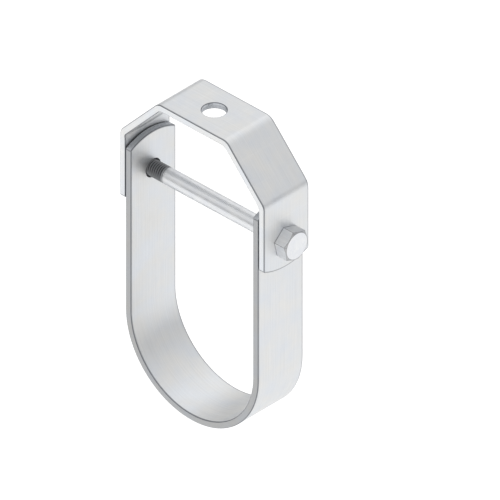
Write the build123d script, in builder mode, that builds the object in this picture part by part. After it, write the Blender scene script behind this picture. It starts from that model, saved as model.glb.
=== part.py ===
from build123d import *

# Clevis pipe hanger, size DN 80, folded from flat steel bar. Sizes are in millimetres.
#
# The yoke is a flat bar folded into a tall arch. The cradle is a flat bar rolled into a U. Its
# legs stand inside the legs of the yoke, and a cross bolt with one nut pins all four together.
# The cradle swings on the bolt, and comes off once the nut and the bolt are out.
#
# The origin is the centre of the top hole, on the outer face of the yoke. X runs along the
# cross bolt to its head, Y along the bore of the cradle, and Z up.

import os
from math import hypot, isclose, radians, sqrt, tan

os.makedirs("parts", exist_ok=True)

# Flat bar of both folded pieces
bar_width = 35.0
yoke_thickness = 4.0
cradle_thickness = 4.0
corner_radius = 1.5  # corners of the cropped ends, seen along the bolt
edge_break = 0.5  # off the sheared edges

# Cradle
pipe_diameter = 88.9
pipe_clearance = 1.55  # all round inside the cradle
pipe_to_bolt = 36.55  # free height under the bolt
cradle_end_above_bolt = 19.6  # from the axis of the bolt to the corners of each leg's end
cradle_end_crown = 4.6  # rise of the arched end between its corners

# Yoke
top_width = 52.0  # between the two bends of the top
shoulder_drop = 30.5  # from the top to the knee, where the shoulder meets the leg
yoke_end_below_bolt = 13.0
yoke_end_crown = 4.0
bend_radius = 3.0  # inside each of the four bends
leg_gap = 0.4  # between a leg of the cradle and the leg of the yoke beside it
swing_gap = 0.5  # between the swinging ends of the cradle and the bend of the knee

# Holes
rod_diameter = 12.0
rod_hole_clearance = 1.0  # all round
bolt_hole_clearance = 0.5  # all round
hole_break = 0.3

# Cross bolt M10, with the outside of its thread left as a plain cylinder
bolt_diameter = 10.0
thread_relief = 0.075  # of the thread's crests below the plain shank
thread_shown = 12.4  # between the cradle's leg and the plain shank
bolt_tail = 3.2  # past the nut
tip_chamfer = 1.0
head_height = 8.0
head_turn = 43.0  # degrees, as the spanner left it
root_radius = 0.4  # under the head

# Nut M10, with a plain bore that fits round the thread
nut_height = 8.0
thread_clearance = 0.05  # all round
nut_mouth = 0.4  # countersink at both ends of the bore
nut_turn = 19.0  # degrees, as the spanner left it

# Both hexagons
across_flats = 17.0
face_inset = 0.4  # from the flats in to the circle where the chamfer meets the flat face
hex_chamfer_angle = 30.0

# Widths across the bolt, measured from the middle
cradle_radius = pipe_diameter / 2 + pipe_clearance
cradle_outside = cradle_radius + cradle_thickness
yoke_inside = cradle_outside + leg_gap
yoke_outside = yoke_inside + yoke_thickness

# The bend of the knee starts below the outer corner by its setback
shoulder = Vector(yoke_outside - top_width / 2, -shoulder_drop)
knee_angle = shoulder.get_angle(Vector(0, -1))
knee_setback = (bend_radius + yoke_thickness) * tan(radians(knee_angle / 2))

# The bolt is as high as the cradle's ends allow when they swing past under the knees
end_reach = hypot(bar_width / 2, cradle_end_above_bolt)
bolt_height = -(shoulder_drop + knee_setback + swing_gap + end_reach)
cradle_height = bolt_height - bolt_diameter / 2 - pipe_to_bolt - pipe_diameter / 2
bolt_axis = Axis((0, 0, bolt_height), (1, 0, 0))

rod_hole_radius = rod_diameter / 2 + rod_hole_clearance
bolt_hole_radius = bolt_diameter / 2 + bolt_hole_clearance
thread_radius = bolt_diameter / 2 - thread_relief
thread_start = thread_shown - cradle_radius
nut_seat = -yoke_outside
nut_face = nut_seat - nut_height
bolt_tip = nut_face - bolt_tail
head_face = yoke_outside + head_height
nut_bore_radius = thread_radius + thread_clearance
corner_circle = 2 * across_flats / sqrt(3)
face_circle = across_flats - 2 * face_inset
hex_chamfer = (corner_circle - face_circle) / 2 * tan(radians(hex_chamfer_angle))


def across_bolt(x):
    """Plane at right angles to the bolt, its own x along Y and its normal along +X."""
    return Plane(origin=(x, 0, bolt_height), x_dir=(0, 1, 0), z_dir=(1, 0, 0))


def bar_outline(corner_height, crown, far_height):
    """Outline of a bar seen along the bolt: one arched end, with its corners taken off."""
    side = bar_width / 2
    with BuildSketch(Plane.YZ) as outline:
        with BuildLine():
            Polyline(
                (-side, corner_height), (-side, far_height), (side, far_height), (side, corner_height)
            )
            ThreePointArc((side, corner_height), (0, corner_height + crown), (-side, corner_height))
        make_face()
        fillet(
            outline.vertices().filter_by(lambda corner: isclose(corner.Z, corner_height)),
            corner_radius,
        )
    return outline.sketch


def sheared_edges(bar, thickness):
    """Outline of the bar on both its faces, without the bends and the edges through the bar."""
    outline = bar.edges().filter_by(Axis.Y, reverse=True)
    return outline.filter_by(lambda edge: not isclose(edge.length, thickness, rel_tol=1e-3))


def hole_edges(bar):
    """Both ends of every hole."""
    return bar.edges().filter_by(lambda edge: edge.is_closed)


# Yoke: top, two shoulders and two legs, folded from one length of bar
with BuildPart() as upper_yoke:
    with BuildSketch(Plane.XZ):
        with BuildLine():
            FilletPolyline(
                (-yoke_outside, bolt_height - bar_width),
                (-yoke_outside, -shoulder_drop),
                (-top_width / 2, 0),
                (top_width / 2, 0),
                (yoke_outside, -shoulder_drop),
                (yoke_outside, bolt_height - bar_width),
                radius=bend_radius + yoke_thickness,
            )
            offset(amount=yoke_thickness, side=Side.RIGHT)
        make_face()
    extrude(amount=bar_width / 2, both=True)
    extrude(
        bar_outline(bolt_height - yoke_end_below_bolt, -yoke_end_crown, yoke_thickness),
        amount=yoke_outside,
        both=True,
        mode=Mode.INTERSECT,
    )
    chamfer(sheared_edges(upper_yoke, yoke_thickness), edge_break)
    with Locations(across_bolt(yoke_outside)):
        Hole(bolt_hole_radius)
    with Locations((0, 0, 0)):
        Hole(rod_hole_radius, yoke_thickness)
    chamfer(hole_edges(upper_yoke), hole_break)
upper_yoke.part.label = "upper_yoke"
export_step(upper_yoke.part, "parts/upper_yoke.step")

# Cradle: two legs and a half-round bottom, rolled from one length of bar
with BuildPart() as lower_strap:
    with BuildSketch(Plane.XZ):
        with BuildLine():
            Line((-cradle_radius, 0), (-cradle_radius, cradle_height))
            ThreePointArc(
                (-cradle_radius, cradle_height),
                (0, cradle_height - cradle_radius),
                (cradle_radius, cradle_height),
            )
            Line((cradle_radius, cradle_height), (cradle_radius, 0))
            offset(amount=cradle_thickness, side=Side.RIGHT)
        make_face()
    extrude(amount=bar_width / 2, both=True)
    extrude(
        bar_outline(
            bolt_height + cradle_end_above_bolt,
            cradle_end_crown,
            cradle_height - cradle_outside - cradle_thickness,
        ),
        amount=cradle_outside,
        both=True,
        mode=Mode.INTERSECT,
    )
    chamfer(sheared_edges(lower_strap, cradle_thickness), edge_break)
    with Locations(across_bolt(cradle_outside)):
        Hole(bolt_hole_radius)
    chamfer(hole_edges(lower_strap), hole_break)
lower_strap.part.label = "lower_strap"
export_step(lower_strap.part, "parts/lower_strap.step")

# Cross bolt: hexagon head against the yoke on +X, plain shank, and thread down to the tip
with BuildPart() as cross_bolt:
    with BuildSketch(across_bolt(yoke_outside)):
        RegularPolygon(across_flats / 2, 6, major_radius=False, rotation=head_turn)
    extrude(amount=head_height)
    with BuildSketch(Plane.XZ):
        with BuildLine():
            Polyline(
                (yoke_outside, bolt_height),
                (yoke_outside, bolt_height + corner_circle / 2),
                (head_face - hex_chamfer, bolt_height + corner_circle / 2),
                (head_face, bolt_height + face_circle / 2),
                (head_face, bolt_height),
                close=True,
            )
        make_face()
    revolve(axis=bolt_axis, mode=Mode.INTERSECT)
    with BuildSketch(across_bolt(yoke_outside)):
        Circle(bolt_diameter / 2)
    extrude(amount=thread_start - yoke_outside)
    fillet(
        cross_bolt.edges()
        .filter_by(GeomType.CIRCLE)
        .filter_by(lambda edge: isclose(edge.center().X, yoke_outside)),
        root_radius,
    )
    with BuildSketch(across_bolt(thread_start)):
        Circle(thread_radius)
    extrude(amount=bolt_tip - thread_start)
    chamfer(cross_bolt.edges().group_by(Axis.X)[0], tip_chamfer)
cross_bolt.part.label = "cross_bolt"
export_step(cross_bolt.part, "parts/cross_bolt.step")

# Nut against the yoke on -X, chamfered on both faces
with BuildPart() as cross_bolt_nut:
    with BuildSketch(across_bolt(nut_seat)):
        RegularPolygon(across_flats / 2, 6, major_radius=False, rotation=nut_turn)
    extrude(amount=nut_face - nut_seat)
    with BuildSketch(Plane.XZ):
        with BuildLine():
            Polyline(
                (nut_seat, bolt_height),
                (nut_seat, bolt_height + face_circle / 2),
                (nut_seat - hex_chamfer, bolt_height + corner_circle / 2),
                (nut_face + hex_chamfer, bolt_height + corner_circle / 2),
                (nut_face, bolt_height + face_circle / 2),
                (nut_face, bolt_height),
                close=True,
            )
        make_face()
    revolve(axis=bolt_axis, mode=Mode.INTERSECT)
    with Locations(across_bolt(nut_seat)):
        Hole(nut_bore_radius)
    chamfer(
        cross_bolt_nut.edges()
        .filter_by(GeomType.CIRCLE)
        .filter_by(lambda edge: isclose(edge.radius, nut_bore_radius)),
        nut_mouth,
    )
cross_bolt_nut.part.label = "cross_bolt_nut"
export_step(cross_bolt_nut.part, "parts/cross_bolt_nut.step")
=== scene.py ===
from math import atan2, ceil, cos, degrees, floor, hypot, pi, radians, sin, sqrt, tan

import bmesh
import bpy
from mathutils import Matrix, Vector


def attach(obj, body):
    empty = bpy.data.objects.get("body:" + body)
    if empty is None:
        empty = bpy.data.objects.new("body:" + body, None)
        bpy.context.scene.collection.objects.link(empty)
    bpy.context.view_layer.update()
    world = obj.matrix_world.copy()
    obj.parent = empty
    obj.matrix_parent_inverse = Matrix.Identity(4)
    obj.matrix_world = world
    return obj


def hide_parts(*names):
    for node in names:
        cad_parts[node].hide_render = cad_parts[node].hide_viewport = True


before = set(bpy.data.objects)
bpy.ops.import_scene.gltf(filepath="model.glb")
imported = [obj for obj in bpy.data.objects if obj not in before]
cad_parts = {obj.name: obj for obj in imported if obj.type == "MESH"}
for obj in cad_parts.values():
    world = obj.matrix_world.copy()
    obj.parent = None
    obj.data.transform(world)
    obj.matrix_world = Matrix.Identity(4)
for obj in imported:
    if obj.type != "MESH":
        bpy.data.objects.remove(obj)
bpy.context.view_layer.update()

# View of the drawing: parallel lines, from the front right and above, turned 44 degrees about Z
# and 34.5 degrees down. The hanger sits left of and above the middle of the picture.
view_turn = radians(44)
view_drop = radians(34.5)
view_width = 0.2714
middle_right_of_hole = 0.0194
middle_below_hole = 0.0761

view_back = Vector((sin(view_turn) * cos(view_drop), -cos(view_turn) * cos(view_drop), sin(view_drop)))
view_right = Vector((cos(view_turn), sin(view_turn), 0))
view_up = view_back.cross(view_right)
camera = bpy.data.objects.new("camera", bpy.data.cameras.new("camera"))
camera.data.type = "ORTHO"
camera.data.ortho_scale = view_width
camera.data.clip_end = 10
camera.location = view_right * middle_right_of_hole - view_up * middle_below_hole + view_back
camera.rotation_euler = view_back.to_track_quat("Z", "Y").to_euler()
bpy.context.scene.collection.objects.link(camera)
bpy.context.scene.camera = camera
bpy.context.scene.view_settings.view_transform = "Standard"

# Upper yoke: mild steel flat bar, 35 x 4 mm, hot rolled. It is cropped to length with arched ends,
# punched in its middle and near both ends, folded cold along four lines, and zinc plated. Here it
# is made in the same order: a flat blank in millimetres, then the folds.
mm = 0.001
bar_width = 35
bar_thickness = 4
edge_round = 0.5  # left by the rolls along the bar, and by the die round the cropped ends
corner_radius = 1.5
top_hole = 7  # radii of the punched holes
bolt_hole = 5.5

yoke_outside = 54.4  # from the middle to the outer face of a leg
top_width = 52  # between the corners that the folds of the top round off
shoulder_drop = 30.5  # from the top to the corner that the fold of the knee rounds off
fold_inside = 3
cradle_end_above_bolt = 19.6  # to the corners of the cradle's ends
swing_gap = 0.5  # between the cradle's ends and the knees, as they swing past under them
yoke_end_below_bolt = 13
yoke_end_crown = 4
squeezed_out = 0.3  # how far the inside of a fold swells past the edge of the bar
drawn_in = 0.4  # of that, how far the outside of the fold narrows
swelling_reach = 3  # how far both run on along the bar, from the fold


def end_arch(corner, crown):
    """Arch of a cropped end: its centre along the bar, and its radius."""
    radius = ((bar_width / 2) ** 2 + crown ** 2) / (2 * crown)
    return corner + crown - radius, radius


def arched_end(corner, crown):
    """Outline of a cropped end, as (along, across): an arch, rounded into both edges of the bar."""
    arch_centre, arch = end_arch(corner, crown)
    round_across = bar_width / 2 - corner_radius
    round_along = arch_centre + sqrt((arch - corner_radius) ** 2 - round_across ** 2)
    meet = atan2(round_across, round_along - arch_centre)
    half = [(arch_centre + arch * cos(turn), arch * sin(turn))
            for turn in [meet * step / 16 for step in range(16)]]
    half += [(round_along + corner_radius * cos(turn), round_across + corner_radius * sin(turn))
             for turn in [meet + (pi / 2 - meet) * step / 6 for step in range(7)]]
    return [(along, -across) for along, across in reversed(half[1:])] + half


def cut_blank(end, holes):
    """Flat blank with round edges. Depth 0 is the face that ends up outside."""
    blank = bpy.data.curves.new("blank", "CURVE")
    blank.dimensions = "2D"
    blank.fill_mode = "BOTH"
    blank.extrude = bar_thickness / 2 - edge_round
    blank.bevel_depth = edge_round
    blank.bevel_resolution = 2
    blank.offset = -edge_round
    loops = [end + [(-along, -across) for along, across in end]]
    for centre, radius in holes:
        loops.append([(centre + radius * cos(turn), -radius * sin(turn))
                      for turn in [2 * pi * step / 64 for step in range(64)]])
    for loop in loops:
        spline = blank.splines.new("POLY")
        spline.points.add(len(loop) - 1)
        for point, (along, across) in zip(spline.points, loop):
            point.co = (along, across, 0, 1)
        spline.use_cyclic_u = True
    pattern = bpy.data.objects.new("blank", blank)
    steel = bmesh.new()
    steel.from_mesh(bpy.data.meshes.new_from_object(pattern))
    bpy.data.objects.remove(pattern)
    bmesh.ops.remove_doubles(steel, verts=steel.verts, dist=1e-4)
    bmesh.ops.dissolve_limit(steel, angle_limit=radians(0.1), verts=steel.verts, edges=steel.edges)
    bmesh.ops.translate(steel, verts=steel.verts, vec=(0, 0, bar_thickness / 2))
    return steel


def keep_flat(mesh):
    """Normals weighted by area, so the flat faces stay flat beside the small round ones."""
    normals = [Vector() for vertex in mesh.vertices]
    for face in mesh.polygons:
        for vertex in face.vertices:
            normals[vertex] += face.normal * face.area
    mesh.normals_split_custom_set_from_vertices([normal.normalized() for normal in normals])


def bend_bar(steel, name, route, start, inside, swelling, facet):
    """Bend a blank along its route of (length, turn), which runs from its middle to either end.

    Start is the height of its middle, inside the side it bends to (1 up, -1 down), and facet the
    degrees of each flat step of a bend.
    """
    lines = []
    bends = []
    reached = 0
    for length, turn in route:
        if turn:
            cuts = ceil(degrees(turn) / facet)
            lines += [reached + length * cut / cuts for cut in range(cuts + 1)]
            lines += [reached - swelling_reach * part for part in (0.25, 0.5, 0.75, 1)]
            lines += [reached + length + swelling_reach * part for part in (0.25, 0.5, 0.75, 1)]
            bends.append((reached + length / 2, length / 2 + swelling_reach))
        reached += length
    for line in lines:
        for side in (-1, 1):
            bmesh.ops.bisect_plane(
                steel, geom=steel.verts[:] + steel.edges[:] + steel.faces[:], dist=1e-5,
                plane_co=(side * line, 0, 0), plane_no=(1, 0, 0))
    # The rounded edges take the grey film: partly burnt zinc, partly painted shade
    dull = steel.verts.layers.float.new("dull")
    for vertex in steel.verts:
        from_face = min(vertex.co.z, bar_thickness - vertex.co.z)
        vertex[dull] = 1 if 0.01 < from_face < edge_round - 0.01 else 0
    # The second material is the sheared steel: all that stands through the bar but its rolled edges
    steel.normal_update()
    for face in steel.faces:
        face.smooth = True
        rolled_edge = abs(face.calc_center_median().y) >= bar_width / 2 - 0.2
        through_bar = abs(face.normal.z) < 0.8
        face.material_index = 1 if through_bar and not rolled_edge else 0
    mesh = bpy.data.meshes.new(name)
    steel.to_mesh(mesh)
    steel.free()
    flat_place = mesh.attributes.new("flat_place", "FLOAT_VECTOR", "POINT")
    for vertex in mesh.vertices:
        along, across, depth = vertex.co
        flat_place.data[vertex.index].vector = vertex.co
        for middle, reach in bends:
            near = cos(pi / 2 * min(1, abs(abs(along) - middle) / reach)) ** 2
            swell = (1 + drawn_in) * depth / bar_thickness - drawn_in
            across *= 1 + near * swell * swelling * 2 / bar_width
        left = abs(along)
        out, rise, heading = 0, 0, 0
        for length, turn in route:
            step = min(left, length)
            left -= step
            if turn:
                radius = length / turn
                turned = heading + turn * step / length
                out += radius * (sin(turned) - sin(heading))
                rise += radius * (cos(heading) - cos(turned))
                heading = turned
            else:
                out += step * cos(heading)
                rise += step * sin(heading)
        out -= depth * sin(heading)
        rise += depth * cos(heading)
        vertex.co = Vector((out if along > 0 else -out, across, start + inside * rise)) * mm
    if inside < 0:
        mesh.flip_normals()
    keep_flat(mesh)
    bar = bpy.data.objects.new(name, mesh)
    bpy.context.scene.collection.objects.link(bar)
    return bar


def linear(code):
    """Colour for a shader, from its sRGB hex code."""
    parts = [int(code[place:place + 2], 16) / 255 for place in (1, 3, 5)]
    return [part / 12.92 if part <= 0.04045 else ((part + 0.055) / 1.055) ** 2.4 for part in parts] + [1]


def node(tree, kind, inputs=None, **settings):
    """Add a node with its settings, and values or links into its sockets."""
    made = tree.nodes.new("ShaderNode" + kind)
    for setting, value in settings.items():
        setattr(made, setting, value)
    for socket, value in (inputs or {}).items():
        if isinstance(value, bpy.types.NodeSocket):
            tree.links.new(value, made.inputs[socket])
        else:
            made.inputs[socket].default_value = value
    return made


def plated_metal(name, colour, roughness):
    """Bare bright zinc: a pale, faintly blue metal with a satin gloss. Patterns are added to it."""
    metal = bpy.data.materials.new(name)
    metal.use_nodes = True
    tree = metal.node_tree
    shader = tree.nodes["Principled BSDF"]
    shader.inputs["Base Color"].default_value = linear(colour)
    shader.inputs["Metallic"].default_value = 1
    shader.inputs["Roughness"].default_value = roughness
    return metal, tree, shader


# Zinc plated hot rolled bar. Rolling leaves fine lines along the bar, pickling a fine grain, and the
# blue passivation faint clouds, so the gloss is satin and a little uneven. The lines are 0.2 mm apart
# and the grain is 0.1 mm, which wouldn't show, so both are drawn about four times as coarse. Noise
# lies mostly between 0.3 and 0.7, and the map ranges spread that over the tones and the gloss.
rolled_line = 0.8
line_length = 35
pickled_grain = 0.45
passivation_cloud = 14
scuff_width = 0.35  # of the short fine scratches from handling, which lie across the rolled lines
scuff_length = 9
scuff_slant = radians(62)
zinc_cool = "#DADDE1"
zinc_warm = "#E3E3E2"
burnt_edge = "#75787D"  # grey of the rounded edges: partly burnt zinc, dull and grey where the plating current is strongest, and partly painted shade along every edge from the rounded edges on to the faces, where the grey is painted shade
burnt_reach = 0.5  # from the rounded edges on to the faces
burnt_beside = 0.8  # of that grey, where a face meets its rounded edge
die_shoulder = 13  # the die's edges rub a line across the bar this far from the middle of a fold
die_line = 0.7  # from the middle of that line to either side
turned_corners = 9.8  # the hexagon's corners rub the bar bright round the bolt hole as it is tightened
corner_rub = 0.5  # from there in, to where the rubbing starts
rubbed_gloss = 0.16  # off the roughness, where the zinc is rubbed


def hot_rolled_zinc(name, edge_tone, arch, folds, seats):
    """Plated bar whose rolled edges carry painted shading: their colour is scaled by the edge tone, above 1
    a painted highlight and below 1 painted shade.

    Arch, folds and seats say where the blank has its arched ends, its folds and its bolt heads.
    """
    metal, tree, shader = plated_metal(name, zinc_cool, 0.4)
    place = node(tree, "Attribute", attribute_name="flat_place").outputs["Vector"]
    parts = node(tree, "SeparateXYZ", {0: place})
    from_middle = node(tree, "Math", {0: parts.outputs["X"]}, operation="ABSOLUTE").outputs[0]
    half = node(tree, "CombineXYZ", {"X": from_middle, "Y": parts.outputs["Y"]}).outputs[0]
    drawn_out = node(
        tree, "VectorMath", {0: place, 1: (1 / line_length, 1 / rolled_line, 1 / rolled_line)},
        operation="MULTIPLY").outputs[0]
    lines = node(tree, "TexNoise", {"Vector": drawn_out, "Scale": 1, "Detail": 3}).outputs[0]
    grain = node(tree, "TexNoise", {"Vector": place, "Scale": 1 / pickled_grain, "Detail": 2}).outputs[0]
    clouds = node(tree, "TexNoise", {"Vector": place, "Scale": 1 / passivation_cloud, "Detail": 5})
    clouds = clouds.outputs[0]

    # Colour: cool and warm clouds, crossed by the rolled lines, with painted shading on the rolled edges,
    # and grey along the rounded edges, partly burnt zinc and partly painted shade
    cloud = node(tree, "MapRange", {0: clouds, 1: 0.35, 2: 0.65}).outputs[0]
    tint = node(tree, "Mix", {0: cloud, 6: linear(zinc_cool), 7: linear(zinc_warm)},
                data_type="RGBA").outputs[2]
    streak = node(tree, "MapRange", {0: lines, 1: 0.3, 2: 0.7, 3: 0.95, 4: 1.02}).outputs[0]
    beside = node(tree, "Math", {0: parts.outputs["Y"]}, operation="ABSOLUTE").outputs[0]
    edge = node(tree, "MapRange", {0: beside, 1: bar_width / 2 - edge_round, 2: bar_width / 2,
                                   3: 1, 4: edge_tone}).outputs[0]
    tone = node(tree, "Math", {0: streak, 1: edge}, operation="MULTIPLY").outputs[0]
    colour = node(tree, "VectorMath", {0: tint, 1: tone}, operation="MULTIPLY").outputs[0]
    burnt = node(tree, "Attribute", attribute_name="dull").outputs["Fac"]
    arch_centre, arch_radius = arch
    past_centre = node(tree, "VectorMath", {0: half, 1: (arch_centre, -bar_width, 0)},
                       operation="MAXIMUM").outputs[0]
    from_centre = node(tree, "VectorMath", {0: past_centre, 1: (arch_centre, 0, 0)},
                       operation="DISTANCE").outputs["Value"]
    # The grey runs on from the rounded edges and the arched ends on to the faces, as painted shade
    for reach, rim in (beside, bar_width / 2), (from_centre, arch_radius):
        away = node(tree, "Math", {0: reach, 1: rim - edge_round}, operation="SUBTRACT").outputs[0]
        away = node(tree, "Math", {0: away}, operation="ABSOLUTE").outputs[0]
        film = node(tree, "MapRange", {0: away, 1: 0, 2: burnt_reach, 3: burnt_beside, 4: 0}).outputs[0]
        burnt = node(tree, "Math", {0: burnt, 1: film}, operation="MAXIMUM").outputs[0]
    colour = node(tree, "Mix", {0: burnt, 6: colour, 7: linear(burnt_edge)}, data_type="RGBA").outputs[2]
    tree.links.new(colour, shader.inputs["Base Color"])

    # Gloss: uneven with the clouds, brighter where handling and the tools have rubbed the zinc
    gloss = node(tree, "MapRange", {0: clouds, 1: 0.3, 2: 0.7, 3: 0.36, 4: 0.48}).outputs[0]
    gloss = node(tree, "Math", {0: lines, 1: 0.1, 2: gloss}, operation="MULTIPLY_ADD").outputs[0]
    slanted = node(tree, "VectorRotate", {"Vector": place, "Axis": (0, 0, 1), "Angle": scuff_slant},
                   rotation_type="AXIS_ANGLE").outputs[0]
    scuff_scale = (1 / scuff_length, 1 / scuff_width, 1 / scuff_length)
    slanted = node(tree, "VectorMath", {0: slanted, 1: scuff_scale}, operation="MULTIPLY").outputs[0]
    scuffs = node(tree, "TexNoise", {"Vector": slanted, "Scale": 1, "Detail": 1}).outputs[0]
    rubbed = node(tree, "MapRange", {0: scuffs, 1: 0.66, 2: 0.74, 3: 0, 4: 0.6}).outputs[0]
    for fold in folds:
        away = from_middle
        for line in (fold, die_shoulder):
            away = node(tree, "Math", {0: away, 1: line}, operation="SUBTRACT").outputs[0]
            away = node(tree, "Math", {0: away}, operation="ABSOLUTE").outputs[0]
        mark = node(tree, "MapRange", {0: away, 1: 0, 2: die_line, 3: 1, 4: 0}).outputs[0]
        worn = node(tree, "Math", {0: mark, 1: clouds}, operation="MULTIPLY").outputs[0]
        rubbed = node(tree, "Math", {0: rubbed, 1: worn}, operation="MAXIMUM").outputs[0]
    for seat in seats:
        away = node(tree, "VectorMath", {0: half, 1: (seat, 0, 0)}, operation="DISTANCE").outputs["Value"]
        ring = node(tree, "MapRange", {0: away, 1: turned_corners - corner_rub, 2: turned_corners,
                                       3: 1, 4: 0}).outputs[0]
        worn = node(tree, "Math", {0: ring, 1: grain}, operation="MULTIPLY").outputs[0]
        rubbed = node(tree, "Math", {0: rubbed, 1: worn}, operation="MAXIMUM").outputs[0]
    gloss = node(tree, "Math", {0: rubbed, 1: -rubbed_gloss, 2: gloss}, operation="MULTIPLY_ADD").outputs[0]
    tree.links.new(gloss, shader.inputs["Roughness"])

    # Relief: the pickled grain, the rolled lines and the shallow scratches
    relief = node(tree, "Math", {0: lines, 1: 1.5, 2: grain}, operation="MULTIPLY_ADD").outputs[0]
    relief = node(tree, "Math", {0: rubbed, 1: -0.8, 2: relief}, operation="MULTIPLY_ADD").outputs[0]
    bump = node(tree, "Bump", {"Height": relief, "Distance": 0.015 * mm, "Strength": 1}).outputs[0]
    tree.links.new(bump, shader.inputs["Normal"])
    return metal


# Zinc plated sheared steel, on the cropped ends and in the punched holes. The blade and the punch tear
# it: a smooth band scored through the bar, then a coarse break, so it is duller than the faces.
score_width = 0.5
score_depth = 1.2  # of the smooth band
torn_depth = 1.8  # from here on the break is all coarse
torn_grain = 0.7
sheared_dark = "#A9ACB1"
sheared_pale = "#CDD0D4"


def sheared_zinc(name):
    metal, tree, shader = plated_metal(name, "#B9BCC1", 0.5)
    place = node(tree, "Attribute", attribute_name="flat_place").outputs["Vector"]
    depth = node(tree, "SeparateXYZ", {0: place}).outputs["Z"]
    through = node(tree, "VectorMath", {0: place, 1: (1 / score_width, 1 / score_width, 0.1)},
                   operation="MULTIPLY").outputs[0]
    scores = node(tree, "TexNoise", {"Vector": through, "Scale": 1, "Detail": 2}).outputs[0]
    tears = node(tree, "TexNoise", {"Vector": place, "Scale": 1 / torn_grain, "Detail": 4}).outputs[0]
    torn = node(tree, "MapRange", {0: depth, 1: score_depth, 2: torn_depth}).outputs[0]
    height = node(tree, "Mix", {0: torn, 2: scores, 3: tears}).outputs[0]
    tone = node(tree, "Mix", {0: height, 6: linear(sheared_dark), 7: linear(sheared_pale)},
                data_type="RGBA").outputs[2]
    # Its rounded edges take the same grey, partly burnt zinc and partly painted shade
    dull = node(tree, "Attribute", attribute_name="dull").outputs["Fac"]
    tone = node(tree, "Mix", {0: dull, 6: tone, 7: linear(burnt_edge)}, data_type="RGBA").outputs[2]
    tree.links.new(tone, shader.inputs["Base Color"])
    gloss = node(tree, "MapRange", {0: torn, 1: 0, 2: 1, 3: 0.38, 4: 0.6}).outputs[0]
    tree.links.new(gloss, shader.inputs["Roughness"])
    bump = node(tree, "Bump", {"Height": height, "Distance": 0.1 * mm, "Strength": 1}).outputs[0]
    tree.links.new(bump, shader.inputs["Normal"])
    return metal


fold_outside = fold_inside + bar_thickness
shoulder_run = yoke_outside - top_width / 2
top_fold = atan2(shoulder_drop, shoulder_run)
knee_fold = pi / 2 - top_fold
top_setback = fold_outside * tan(top_fold / 2)  # from a corner to both ends of the fold that rounds it off
knee_setback = fold_outside * tan(knee_fold / 2)
bolt_height = -(shoulder_drop + knee_setback + swing_gap + hypot(bar_width / 2, cradle_end_above_bolt))
top_flat = top_width / 2 - top_setback  # from the middle of the top
shoulder_flat = hypot(shoulder_run, shoulder_drop) - top_setback - knee_setback
leg_flat = yoke_end_below_bolt - bolt_height - shoulder_drop - knee_setback  # to the corners of the end
yoke_route = [
    (top_flat, 0), (fold_outside * top_fold, top_fold),
    (shoulder_flat, 0), (fold_outside * knee_fold, knee_fold),
    (leg_flat + yoke_end_crown, 0)]
yoke_end = sum(length for length, turn in yoke_route) - yoke_end_crown
yoke_bolt_hole = yoke_end - yoke_end_below_bolt
folded_yoke = bend_bar(
    cut_blank(
        arched_end(yoke_end, yoke_end_crown),
        [(0, top_hole), (yoke_bolt_hole, bolt_hole), (-yoke_bolt_hole, bolt_hole)]),
    "folded_yoke", yoke_route, 0, -1, squeezed_out, 3)
top_fold_middle = top_flat + fold_outside * top_fold / 2
knee_fold_middle = yoke_end - leg_flat - fold_outside * knee_fold / 2
yoke_edge_tone = 1.06  # painted highlight: the yoke's rolled edges are a little brighter than its faces
folded_yoke.data.materials.append(hot_rolled_zinc(
    "zinc plated hot rolled bar of the yoke", yoke_edge_tone, end_arch(yoke_end, yoke_end_crown),
    [top_fold_middle, knee_fold_middle], [yoke_bolt_hole]))
folded_yoke.data.materials.append(sheared_zinc("zinc plated sheared steel of the yoke"))
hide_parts("upper_yoke")
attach(folded_yoke, "yoke")

# Cradle strap: the same flat bar, with arched ends and two punched holes, rolled round into a U that
# is 92 mm wide inside. Its legs stand just inside the legs of the yoke.
cradle_outside = 50
bolt_to_half_round = 86  # from the axis of the bolt down to the centre of the half-round
cradle_end_crown = 4.6

cradle_bottom = bolt_height - bolt_to_half_round - cradle_outside
cradle_leg = bolt_to_half_round + cradle_end_above_bolt  # from the half-round to the corners of the end
cradle_route = [(cradle_outside * pi / 2, pi / 2), (cradle_leg + cradle_end_crown, 0)]
cradle_end = sum(length for length, turn in cradle_route) - cradle_end_crown
cradle_bolt_hole = cradle_end - cradle_end_above_bolt
rolled_cradle = bend_bar(
    cut_blank(
        arched_end(cradle_end, cradle_end_crown),
        [(cradle_bolt_hole, bolt_hole), (-cradle_bolt_hole, bolt_hole)]),
    "rolled_cradle", cradle_route, cradle_bottom, 1, 0, 2)
cradle_edge_tone = 0.6  # painted shade: the cradle's rolled edges are a mid grey
rolled_cradle.data.materials.append(hot_rolled_zinc(
    "zinc plated hot rolled bar of the cradle", cradle_edge_tone,
    end_arch(cradle_end, cradle_end_crown), [], []))
rolled_cradle.data.materials.append(sheared_zinc("zinc plated sheared steel of the cradle"))
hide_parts("lower_strap")
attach(rolled_cradle, "cradle")

# Cross bolt: M10 x 120, cold forged from wire, with its hexagon trimmed and its thread rolled. The
# head bears on the yoke at +X, and stopped at 43 degrees where the spanner left it.
seat_gap = 0.001  # keeps the seated faces out of the yoke's own plane
head_seat = yoke_outside + seat_gap
head_height = 8
head_turn = radians(43)
across_flats = 17
hex_round = 0.5  # of the corners between the flats
corner_line = 0.8  # degrees to each side of a corner that carry painted shade
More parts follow.
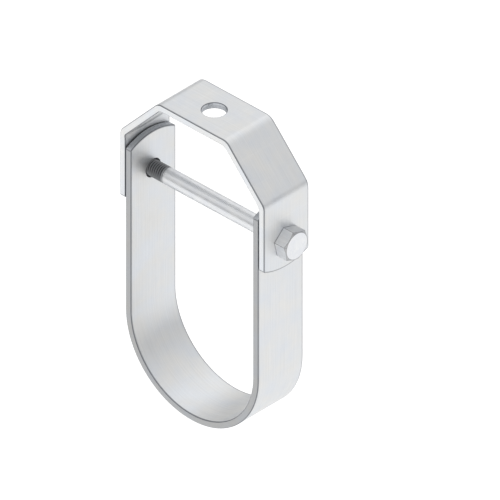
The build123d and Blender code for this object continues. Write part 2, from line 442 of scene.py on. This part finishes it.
# Share of the thread's dark colour, painted as shade along the hexagons' rounded edges and corners
edge_dullness = 0.7
turned_dullness = 0.4  # of the chamfer, which is turned, and greyer than the forged face inside it: partly the turned finish, partly painted shade
face_inset = 0.4  # from the flats in to the circle where the chamfer meets the face
face_circle = across_flats - 2 * face_inset
chamfer_fall = tan(radians(30))  # along the bolt, for each millimetre outwards
face_middle = 0.5  # radius of the disc that closes the middle of the head
shank = 5  # radius
root_fillet = 0.4
thread_start = -33.6
thread_length = 32
pitch = 1.5
crest = 4.925  # radius over the thread
tip_chamfer = 1
groove_depth = 0.845
run_out = 3  # over which the thread fades into the shank
dark_crest = 0.7  # of the dark film and painted shade on the thread's crests, against that in its grooves
tip_radius = crest - tip_chamfer
turned_edge = 0.1  # to each side of the edges that a lathe tool turns
# One turn of the thread in section: where on the pitch, and how deep in the groove.
thread_form = [(0, 0), (0.11, 0), (0.22, 0.31), (0.33, 0.62), (0.44, 0.93), (0.5, 1),
               (0.61, 1), (0.67, 0.93), (0.78, 0.62), (0.89, 0.31)]


def hexagon_turns(corner_turn):
    """Angles round a hexagon, close together where its corners are rounded."""
    steps = [0, 0.5, 1, 1.5] + list(range(3, 58, 3)) + [58.5, 59, 59.5]
    return [corner_turn + radians(60 * corner + step) for corner in range(6) for step in steps]


def hexagon_reach(turn, corner_turn):
    """From the axis to the side of the hexagon, at one angle."""
    flat = across_flats / 2
    off = (turn - corner_turn) % (pi / 3) - pi / 6
    if flat * abs(tan(off)) <= (flat - hex_round) * tan(pi / 6):
        return flat / cos(off)
    lean = pi / 6 - abs(off)
    corner = (flat - hex_round) / cos(pi / 6)
    return corner * cos(lean) + sqrt(hex_round ** 2 - (corner * sin(lean)) ** 2)


def forged_hexagon(turn, corner_turn, seat, out):
    """Section of a chamfered hexagon at one angle, from its face to its side: x, radius, darkening, which
    paints shade on the edges and, in part, on the chamfer.
    """
    rim = face_circle / 2
    side = hexagon_reach(turn, corner_turn)
    face = seat + out
    down = -1 if out > 0 else 1
    fall = (side - rim) * chamfer_fall
    return [
        (face, rim - 0.5, 0),
        (face, rim - 0.2, 0),
        (face + down * 0.02, rim, edge_dullness),  # edge of the face, rounded off, with painted shade
        (face + down * 0.09, rim + 0.15, turned_dullness),
        (face + down * (fall - 0.06), side - 0.1, turned_dullness),
        (face + down * (fall + 0.02), side - 0.02, edge_dullness),  # edge of the chamfer, with painted shade
        (face + down * (fall + 0.2), side, 0)]


def skin(metal, turns, sections, closed=True):
    """Faces between neighbouring sections round the bolt, in triangles where it isn't closed."""
    dull = metal.verts.layers.float.get("dull") or metal.verts.layers.float.new("dull")
    columns = []
    for turn, section in zip(turns, sections):
        columns.append([])
        for x, radius, dullness in section:
            vertex = metal.verts.new((x, radius * cos(turn), radius * sin(turn)))
            vertex[dull] = dullness
            columns[-1].append(vertex)
    if closed:
        columns.append(columns[0])
    for column, neighbour in zip(columns, columns[1:]):
        for row in range(len(column) - 1):
            corners = (column[row], column[row + 1], neighbour[row + 1], neighbour[row])
            for face in [corners] if closed else [corners[:3], corners[2:] + corners[:1]]:
                metal.faces.new(face)
    return columns


def cut_thread(metal, turns, start, length, lead, form_at, trim):
    """Right-hand thread along -X, whose rows slant by one pitch a turn. A cone trims its ends.

    It is cut from start over length. Lead is how far before that the bolt's thread starts, so that
    both threads fit. Trim is min where the metal is inside the cone and max where it is outside.
    """
    turns = turns + [turns[0] + 2 * pi]
    sections = []
    for turn in turns:
        points = []
        for whole in range(floor(lead / pitch) - 1, ceil((lead + length) / pitch) + 2):
            for part, deep in thread_form:
                gone = min(length, max(0, pitch * (whole + part - turn / (2 * pi)) - lead))
                radius, cone, dullness = form_at(gone, deep)
                points.append([gone, radius, cone, dullness if trim(radius, cone) == radius else 0])
        # Where thread and cone cross, the nearer point is moved on to the crossing
        for here, there in zip(points, points[1:]):
            over, over_next = here[1] - here[2], there[1] - there[2]
            if over * over_next < 0:
                share = over / (over - over_next)
                crossing = [mine + (other - mine) * share for mine, other in zip(here[:3], there)]
                (here if share < 0.5 else there)[:] = crossing + [0]
        sections.append([(start - gone, trim(radius, cone), dullness)
                         for gone, radius, cone, dullness in points])
    skin(metal, turns, sections, closed=False)


def bolt_thread(gone, deep):
    """The bolt's thread, which fades into the shank: radius, radius of the tip's chamfer, darkening, which
    is oil and painted shade, deepest in the grooves.
    """
    clear = min(1, gone / run_out)
    fade = clear ** 2 * (3 - 2 * clear)
    outside = shank + (crest - shank) * min(1, gone / pitch)
    chamfer = tip_radius + thread_length - gone
    return outside - groove_depth * deep * fade, chamfer, max(deep, dark_crest) * fade


def dull_corners(section, turn, corner_turn):
    """The same section, with painted shade where it runs along a corner of the hexagon."""
    off = (turn - corner_turn) % (pi / 3) - pi / 6
    corner = abs(off) > radians(30 - corner_line)
    return [(x, radius, edge_dullness if corner and radius > face_circle / 2 else dullness)
            for x, radius, dullness in section]


bolt_turns = hexagon_turns(head_turn)
metal = bmesh.new()
sections = []
for turn in bolt_turns:
    section = [(head_seat + head_height, face_middle, 0)]
    section += forged_hexagon(turn, head_turn, head_seat, head_height)
    side = section[-1][1]
    section += [
        (head_seat + 0.3, side, 0),
        (head_seat + 0.08, side - 0.06, edge_dullness),  # edge under the head, rounded off, with painted shade
        (head_seat, side - 0.25, 0)]
    section = dull_corners(section, turn, head_turn)
    section += [(head_seat, shank + root_fillet + 0.3, 0)]
    section += [(head_seat - root_fillet * (1 - cos(bend)), shank + root_fillet * (1 - sin(bend)), 0)
                for bend in [radians(part) for part in (0, 30, 60, 90)]]
    section += [(thread_start, shank, 0)]
    sections.append(section)
columns = skin(metal, bolt_turns, sections)
metal.faces.new([column[0] for column in columns[:-1]])
cut_thread(metal, bolt_turns, thread_start, thread_length - turned_edge, 0, bolt_thread, min)
tip = thread_start - thread_length
tip_edge = [
    (tip + turned_edge, tip_radius + turned_edge, 0),
    (tip, tip_radius, 0),
    (tip, tip_radius - turned_edge, 0)]
columns = skin(metal, bolt_turns, [tip_edge for turn in bolt_turns])
metal.faces.new([column[-1] for column in columns[:-1]])


def finish_metal(metal, name):
    """Close the seams, move the metal from the bolt's axis to its place, and make it an object."""
    bmesh.ops.remove_doubles(metal, verts=metal.verts, dist=1e-3)
    bmesh.ops.recalc_face_normals(metal, faces=metal.faces)
    for vertex in metal.verts:
        vertex.co = (vertex.co + Vector((0, 0, bolt_height))) * mm
    for face in metal.faces:
        face.smooth = True
    mesh = bpy.data.meshes.new(name)
    metal.to_mesh(mesh)
    metal.free()
    keep_flat(mesh)
    made = bpy.data.objects.new(name, mesh)
    bpy.context.scene.collection.objects.link(made)
    return made


threaded_bolt = finish_metal(metal, "threaded_bolt")

# Zinc plated cold forged steel, drawn as wire before forging: brighter and smoother than the bars,
# with fine drawing lines along the bolt that are 0.1 mm apart, here drawn at 0.5 mm. The grooves of
# the thread hold dark passivation and oil, with painted shade in them and on the crests, so the
# thread looks nearly black; the same painted shade darkens the hexagons' edges, corners and chamfers.
drawn_line = 0.5
drawn_length = 18
forged_cloud = 5
forged_cool = "#DFE1E5"
forged_warm = "#E8E9EA"
# Near black: dark passivation and oil in the grooves, and painted shade there, on the crests and along the
# hexagons' edges
thread_film = "#2B2D30"
film_roughness = 0.3  # on top of the zinc's


def cold_forged_zinc(name):
    metal, tree, shader = plated_metal(name, "#E2E4E7", 0.3)
    place = node(tree, "VectorMath", {0: node(tree, "TexCoord").outputs["Object"], 1: (1 / mm,) * 3},
                 operation="MULTIPLY").outputs[0]
    drawn_out = node(tree, "VectorMath", {0: place, 1: (1 / drawn_length, 1 / drawn_line, 1 / drawn_line)},
                     operation="MULTIPLY").outputs[0]
    lines = node(tree, "TexNoise", {"Vector": drawn_out, "Scale": 1, "Detail": 2}).outputs[0]
    clouds = node(tree, "TexNoise", {"Vector": place, "Scale": 1 / forged_cloud, "Detail": 4}).outputs[0]
    tint = node(tree, "Mix", {0: node(tree, "MapRange", {0: clouds, 1: 0.35, 2: 0.65}).outputs[0],
                              6: linear(forged_cool), 7: linear(forged_warm)}, data_type="RGBA").outputs[2]
    streak = node(tree, "MapRange", {0: lines, 1: 0.3, 2: 0.7, 3: 0.93, 4: 1.02}).outputs[0]
    colour = node(tree, "VectorMath", {0: tint, 1: streak}, operation="MULTIPLY").outputs[0]
    # The dark mix is oil and painted shade in the thread, and painted shade on the hexagons' edges, corners
    # and chamfers
    filled = node(tree, "Attribute", attribute_name="dull").outputs["Fac"]
    colour = node(tree, "Mix", {0: filled, 6: colour, 7: linear(thread_film)}, data_type="RGBA").outputs[2]
    tree.links.new(colour, shader.inputs["Base Color"])
    gloss = node(tree, "MapRange", {0: clouds, 1: 0.3, 2: 0.7, 3: 0.3, 4: 0.4}).outputs[0]
    gloss = node(tree, "Math", {0: filled, 1: film_roughness, 2: gloss},
                 operation="MULTIPLY_ADD").outputs[0]
    tree.links.new(gloss, shader.inputs["Roughness"])
    bump = node(tree, "Bump", {"Height": lines, "Distance": 0.015 * mm, "Strength": 1}).outputs[0]
    tree.links.new(bump, shader.inputs["Normal"])
    return metal


threaded_bolt.data.materials.append(cold_forged_zinc("zinc plated cold forged steel of the bolt"))
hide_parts("cross_bolt")
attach(threaded_bolt, "bolt")

# Nut M10, cold forged and tapped, chamfered on both faces. It is screwed on at -X and draws the legs
# together, and it stopped at 19 degrees where the spanner left it.
nut_seat = -yoke_outside - seat_gap
nut_height = 8
nut_turn = radians(19)
nut_mouth = 5.4  # radius of the countersinks where they meet the faces
nut_core = 4.188  # radius inside the crests of its thread
nut_play = 0.1  # between the nut's thread and the bolt's


def nut_thread(gone, deep):
    """The nut's thread: radius, radius of the countersink at the nearer end, darkening, which is oil and
    painted shade in its grooves.
    """
    radius = max(nut_core, crest - groove_depth * deep + nut_play)
    from_end = min(gone, nut_height - 2 * turned_edge - gone)
    return radius, nut_mouth - turned_edge - from_end, 1 - deep


nut_turns = hexagon_turns(nut_turn)
metal = bmesh.new()
sections = []
mouth = [(turned_edge, nut_mouth - turned_edge), (0, nut_mouth), (0, nut_mouth + turned_edge)]
for turn in nut_turns:
    near = forged_hexagon(turn, nut_turn, nut_seat - nut_height, nut_height)
    far = forged_hexagon(turn, nut_turn, nut_seat, -nut_height)
    section = [(nut_seat - into, radius, 0) for into, radius in mouth] + near + list(reversed(far))
    section += [(nut_seat - nut_height + into, radius, 0) for into, radius in reversed(mouth)]
    sections.append(dull_corners(section, turn, nut_turn))
skin(metal, nut_turns, sections)
cut_thread(metal, nut_turns, nut_seat - turned_edge, nut_height - 2 * turned_edge,
           thread_start - nut_seat + turned_edge, nut_thread, max)
threaded_nut = finish_metal(metal, "threaded_nut")
threaded_nut.data.materials.append(cold_forged_zinc("zinc plated cold forged steel of the nut"))
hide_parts("cross_bolt_nut")
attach(threaded_nut, "nut")

# Studio: a plain white floor well below the hanger, a pale room that is dimmest along the horizon,
# and two broad soft lights. The metal shows the floor and the room as the camera sees them.
floor_height = -0.32
floor_reach = 6
floor_glow = 0.3  # added where the camera or the metal sees the paper, so it stays white in both
floor_mesh = bpy.data.meshes.new("floor")
floor_corners = [(side * floor_reach, end * floor_reach, floor_height)
                 for side, end in ((-1, -1), (1, -1), (1, 1), (-1, 1))]
floor_mesh.from_pydata(floor_corners, [], [(0, 1, 2, 3)])
floor = bpy.data.objects.new("floor", floor_mesh)
bpy.context.scene.collection.objects.link(floor)
paper = bpy.data.materials.new("matt white paper")
paper.use_nodes = True
tree = paper.node_tree
shader = tree.nodes["Principled BSDF"]
shader.inputs["Base Color"].default_value = linear("#F2F2F2")
shader.inputs["Roughness"].default_value = 0.9
shader.inputs["Emission Color"].default_value = (1, 1, 1, 1)
rays = node(tree, "LightPath")
seen = node(tree, "Math", {0: rays.outputs["Is Camera Ray"], 1: rays.outputs["Is Glossy Ray"]},
            operation="ADD")
seen = node(tree, "Math", {0: seen.outputs[0], 1: rays.outputs["Is Transmission Ray"]}, operation="ADD")
glow = node(tree, "Math", {0: seen.outputs[0], 1: floor_glow}, operation="MULTIPLY")
tree.links.new(glow.outputs[0], shader.inputs["Emission Strength"])
floor_mesh.materials.append(paper)

hanger_middle = Vector((0, 0, -0.1))
horizon_light = 0.36
overhead_light = 0.92


def soft_light(name, place, width, brightness):
    """Square light that faces the hanger. At a brightness of 1 its own face would show as white."""
    light = bpy.data.lights.new(name, "AREA")
    light.shape = "SQUARE"
    light.size = width
    light.energy = brightness * pi * width ** 2
    lamp = bpy.data.objects.new(name, light)
    lamp.location = place
    lamp.rotation_euler = (Vector(place) - hanger_middle).to_track_quat("Z", "Y").to_euler()
    bpy.context.scene.collection.objects.link(lamp)


soft_light("front light", (0.2, -2.2, 1.5), 2.0, 0.5)
soft_light("back light", (-0.6, 1.9, 1.3), 1.6, 0.5)
room = bpy.data.worlds.new("pale room")
room.use_nodes = True
tree = room.node_tree
height = node(tree, "SeparateXYZ", {0: node(tree, "TexCoord").outputs["Generated"]}).outputs["Z"]
walls = node(tree, "MapRange", {0: height, 1: 0, 2: 0.5, 3: horizon_light, 4: overhead_light})
tree.links.new(walls.outputs[0], tree.nodes["Background"].inputs["Strength"])
tree.nodes["Background"].inputs["Color"].default_value = linear("#FFFFFF")
bpy.context.scene.world = room
